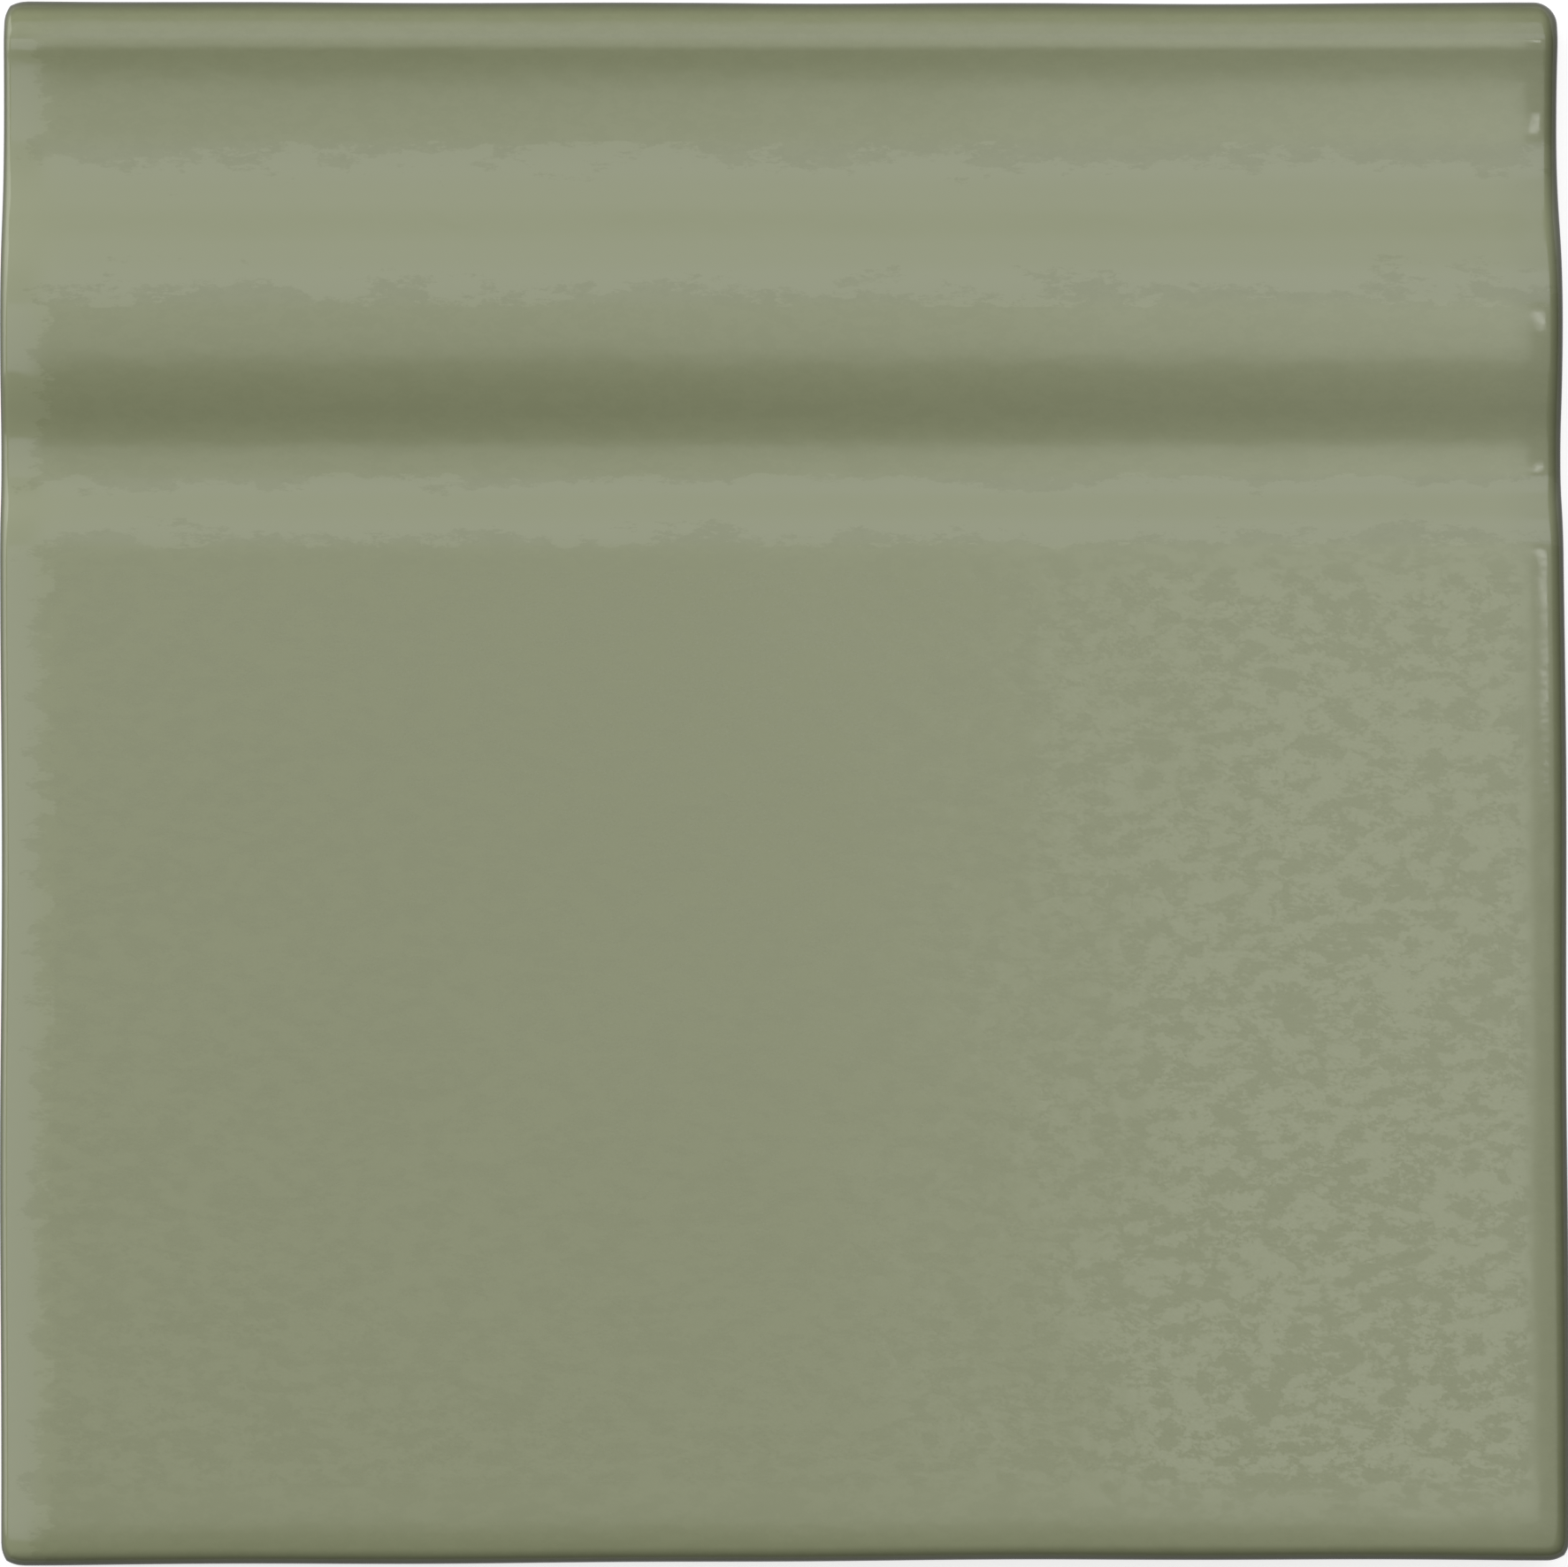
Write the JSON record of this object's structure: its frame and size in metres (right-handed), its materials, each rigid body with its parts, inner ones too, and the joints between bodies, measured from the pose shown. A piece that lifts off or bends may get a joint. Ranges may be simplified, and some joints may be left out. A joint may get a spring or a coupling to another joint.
{
  "type": "skirting tile",
  "caption": "Square glazed ceramic skirting tile with a moulded top edge (bead, cove, roll and quirk), a plain face, cushioned edges and a keyed back; covers the foot of a wall.",
  "frame": {"origin": "middle of the tile's back, on the plane of its ribs", "axes": "+X along the wall, +Y towards the moulded top edge, +Z out of the glazed face"},
  "size_m": [0.148, 0.148, 0.0118],
  "materials": {
    "glaze": "satin"
  },
  "bodies": {
    "root": {"skirting_tile": "glaze"}
  },
  "joints": []
}
